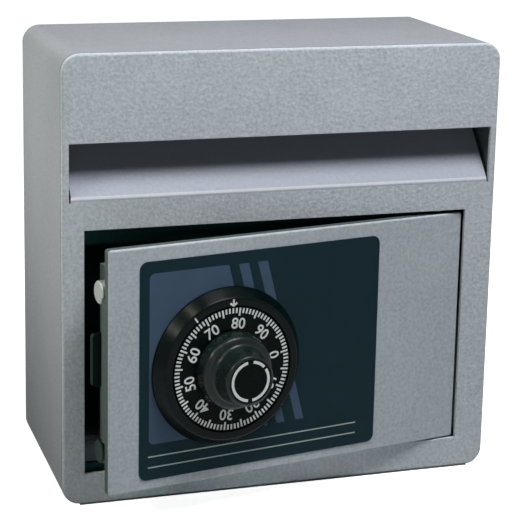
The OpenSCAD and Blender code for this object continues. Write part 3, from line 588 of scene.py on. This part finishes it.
# Dial: a flat gloss black disc, engraved with a hundred white marks, longer at every fifth, and
# numbered at every tenth. The filled engraving stands a hair proud of the face.
spindle_bore, dial_top = 4.05, 8.5
number_at_top = 78
degrees_per_mark = 3.6
mark_half = 0.55
numeral_high, numeral_bold, numeral_radius = 9.5, 0.12, 28.2
face_black = moulded_black("face_black", (0.0005, 0.0030, 0.0024), roughness=0.25, gloss=0.03)
face = turn("dial_face", [
    (spindle_bore, 3.0), (38.4, 3.0), (38.8, 3.3), (38.8, 8.1), (38.65, 8.38), (38.3, dial_top),
    (spindle_bore, dial_top), (spindle_bore, 3.0)])
close_turned(face, merge=True)
hang(face, "dial", face_black, "dial")
lines = []
for name, count, inner, outer in (("marks_one", 100, 34.9, 38.1), ("marks_five", 20, 33.2, 35.0)):
    line = mark(name, -mark_half, mark_half, inner, outer)
    bpy.ops.object.mode_set(mode="EDIT")
    bpy.ops.mesh.select_all(action="SELECT")
    bpy.ops.mesh.spin(steps=count, dupli=True, angle=2 * math.pi, center=(0, 0, 0), axis=(0, 1, 0))
    bpy.ops.mesh.select_all(action="SELECT")
    bpy.ops.mesh.remove_doubles(threshold=1e-7)
    bpy.ops.object.mode_set(mode="OBJECT")
    lines.append(line)
graduations = join(lines, "dial_graduations")
on_dial(graduations, -number_at_top * degrees_per_mark, 0, dial_top)
hang(graduations, "dial", white_fill)

numerals = []
for number in range(0, 100, 10):
    bpy.ops.object.select_all(action="DESELECT")
    bpy.ops.object.text_add()
    words = bpy.context.object
    words.data.body = str(number)
    words.data.size = numeral_high / 1000
    words.data.resolution_u = 3
    words.data.align_x = "CENTER"
    words.data.align_y = "CENTER"
    words.data.extrude = film
    words.data.offset = numeral_bold / 1000
    bpy.ops.object.convert(target="MESH")
    words = bpy.context.object
    words.data.transform(Matrix.Rotation(math.radians(90), 4, "X"))
    centre = sum((Vector(c) for c in words.bound_box), Vector()) / 8
    words.data.transform(Matrix.Translation((-centre.x, -film, -centre.z)))
    on_dial(words, (number - number_at_top) * degrees_per_mark, numeral_radius, dial_top)
    numerals.append(words)
hang(join(numerals, "dial_numerals"), "dial", white_fill)


# Knob: a turned black grip with a wide foot and a narrower waist, pressed on the spindle. A cap
# with a broken white circle closes its face.
knob_top, cap_seat, cap_top = 33.0, 31.6, 32.8
circle_inner, circle_outer, circle_start = 10.9, 12.6, 0.01
degrees_per_step, fewest_steps = 5, 8
knob_black = moulded_black("knob_black", (0.0050, 0.0105, 0.0098), roughness=0.24, gloss=0.14)
knob = turn("dial_grip", [
    (spindle_bore, dial_top), (24.0, dial_top), (23.9, 9.5), (23.3, 14.5), (22.9, 16.1), (22.2, 17.3),
    (21.3, 18.1), (20.0, 18.5), (18.5, 18.7), (17.7, 19.4), (17.1, 20.7), (16.6, 23.3), (15.9, 30.5),
    (15.6, 31.8), (15.1, 32.6), (14.4, knob_top), (13.75, knob_top), (13.65, 32.9), (13.65, cap_seat),
    (spindle_bore, cap_seat), (spindle_bore, dial_top)])
close_turned(knob, merge=True)
hang(knob, "dial", knob_black, "dial_knob")
cap = turn("grip_cap", [(0.5, cap_seat), (13.6, cap_seat), (13.6, 32.6), (13.3, cap_top), (0.5, cap_top)])
close_turned(cap)
hang(cap, "dial", face_black, "knob_cap")
for name, start, end in (("cap_arc_left", 10, 172), ("cap_arc_right", 186, 303), ("cap_arc_top", 312, 352)):
    arc = mark(name, -circle_start, circle_start, circle_inner, circle_outer)
    bpy.ops.object.mode_set(mode="EDIT")
    pick("FACE", lambda p: 1000 * p.x > circle_start / 2)
    steps = max(fewest_steps, (end - start) // degrees_per_step)
    bpy.ops.mesh.spin(steps=steps, angle=math.radians(end - start), center=(0, 0, 0), axis=(0, 1, 0))
    bpy.ops.mesh.select_all(action="SELECT")
    bpy.ops.mesh.normals_make_consistent(inside=False)
    bpy.ops.object.mode_set(mode="OBJECT")
    on_dial(arc, -start, 0, cap_top)
    hang(arc, "dial", white_fill)


# Floor and backdrop: a very large pale floor under a white sky. They glow only for the camera and in
# shine. As light on the safe, the sky is dim and the floor is a plain grey. The glow fades a little
# towards the safe, a painted shade, and right under it there is no glow and a darker grey, a painted
# shadow, so that its foot stands on a dark line.
foot_x, foot_y = 0.1295, 0.0662
fade_from, fade_to, fade_least = 0.22, 0.75, 0.90
matt_under, matt_more = 0.15, 0.70


def seen_rays(tree):
    """One for rays from the camera, a shine or a clear piece, and nought for the rest."""
    rays = add_node(tree, "LightPath").outputs
    seen = maths(tree, "MAXIMUM", rays["Is Camera Ray"], rays["Is Glossy Ray"])
    return maths(tree, "MAXIMUM", seen, rays["Is Transmission Ray"])


bpy.ops.object.select_all(action="DESELECT")
bpy.ops.mesh.primitive_plane_add(size=30)
floor = bpy.context.object
floor.name = "floor"
pale = bpy.data.materials.new("pale_floor")
pale.use_nodes = True
tree = pale.node_tree
tree.nodes.clear()
place = add_node(tree, "TexCoord").outputs["Object"]
reach = add_node(tree, "VectorMath", {0: place}, operation="LENGTH").outputs["Value"]
# Painted shade: the glow weakens a little towards the safe.
fade = add_node(tree, "MapRange", {"Value": reach, "From Min": fade_from, "From Max": fade_to,
                                   "To Min": fade_least, "To Max": 1.0}).outputs["Result"]
distance = add_node(tree, "VectorMath", {0: place}, operation="ABSOLUTE").outputs["Vector"]
sides = add_node(tree, "SeparateXYZ", {"Vector": distance}).outputs
# Painted shadow: under the safe's foot the floor has no glow and a darker grey.
clear = maths(tree, "MAXIMUM", maths(tree, "GREATER_THAN", sides["X"], foot_x),
              maths(tree, "GREATER_THAN", sides["Y"], foot_y))
glow = add_node(tree, "Emission", {"Strength": maths(tree, "MULTIPLY", clear, fade)})
matt_grey = maths(tree, "MULTIPLY_ADD", clear, matt_more, matt_under)
matt = add_node(tree, "BsdfDiffuse", {"Color": matt_grey})
bright = add_node(tree, "AddShader", {0: glow.outputs["Emission"], 1: matt.outputs["BSDF"]})
grey = add_node(tree, "BsdfDiffuse", {"Color": (0.50, 0.52, 0.52, 1)})
choose = add_node(tree, "MixShader", {
    "Fac": seen_rays(tree), 1: grey.outputs["BSDF"], 2: bright.outputs["Shader"]})
add_node(tree, "OutputMaterial", {"Surface": choose.outputs["Shader"]})
floor.data.materials.append(pale)

sky = bpy.data.worlds.new("studio")
bpy.context.scene.world = sky
sky.use_nodes = True
tree = sky.node_tree
tree.nodes.clear()
dim = add_node(tree, "Background", {"Color": (0.30, 0.85, 0.80, 1), "Strength": 0.022})
white = add_node(tree, "Background", {"Color": (1, 1, 1, 1), "Strength": 1.0})
choose = add_node(tree, "MixShader", {
    "Fac": seen_rays(tree), 1: dim.outputs["Background"], 2: white.outputs["Background"]})
add_node(tree, "OutputWorld", {"Surface": choose.outputs["Shader"]})


# Lamps: two broad ones high in front, a weak one low in front, a narrow one that brushes the left
# edge from behind, one high on the left for the side, two narrow ones that shine on the dial's ring,
# and a thin blade of light along the floor that fills the band under the door.
cool = (0.975, 0.98, 1.0)
warm = (1.0, 1.0, 0.80)


def lamp(name, at, aim, size, watts, colour, spread=180):
    """A square soft lamp that faces a point, and may be narrowed to a beam."""
    bpy.ops.object.select_all(action="DESELECT")
    bpy.ops.object.light_add(type="AREA", location=at)
    light = bpy.context.object
    light.name = name
    light.data.size = size
    light.data.energy = watts
    light.data.color = colour
    light.data.spread = math.radians(spread)
    light.rotation_mode = "QUATERNION"
    light.rotation_quaternion = (Vector(at) - Vector(aim)).to_track_quat("Z", "Y")
    return light


lamp("key_lamp", (0.32, -0.42, 1.05), (0, -0.04, 0.17), 0.36, 4.7, cool)
lamp("high_lamp", (0.10, -0.31, 0.85), (0, -0.04, 0.17), 0.30, 4.3, cool)
lamp("front_lamp", (-0.1, -1.35, 0.14), (0, -0.04, 0.12), 0.4, 1.2, cool)
lamp("left_lamp", (-0.7, 0.35, 0.40), (-0.14, 0.0, 0.23), 0.2, 0.22, (1.0, 1.0, 0.92), spread=33)
lamp("side_lamp", (-0.59, -0.20, 0.595), (-0.05, -0.1, 0.09), 0.16, 1.75, (1.0, 1.0, 0.88))
lamp("dial_lamp_low", (-0.585, -0.372, 0.523), (-0.073, -0.097, 0.11), 0.14, 0.0085, warm, spread=10)
lamp("dial_lamp_high", (-0.316, -0.306, 0.753), (-0.066, -0.096, 0.12), 0.14, 0.0085, warm, spread=10)
blade = lamp("low_lamp", (-0.15, -1.2, 0.012), (-0.03, -0.065, -0.012), 0.2, 0.0092, cool, spread=4)
blade.data.shape = "RECTANGLE"
blade.data.size_y = 0.01


# Camera: a long lens in front of the safe, a little to its left and above it, where the photograph
# was taken from. It is turned and shifted so that the safe lies in the picture as it does there.
camera_at = (-0.3313, -1.0442, 0.4312)
yaw, pitch, roll = math.radians(-17.50), math.radians(-12.32), math.radians(1.12)
bpy.ops.object.camera_add()
camera = bpy.context.object
level = Matrix.Translation(camera_at) @ Matrix.Rotation(yaw, 4, "Z")
camera.matrix_world = (level @ Matrix.Rotation(math.pi / 2 + pitch, 4, "X")
                       @ Matrix.Rotation(roll, 4, "Z"))
camera.data.sensor_width = 36
camera.data.lens = 119.6
camera.data.shift_x, camera.data.shift_y = 0.0154, -0.1766
camera.data.clip_start, camera.data.clip_end = 0.01, 100
bpy.context.scene.camera = camera
bpy.context.scene.view_settings.view_transform = "Standard"
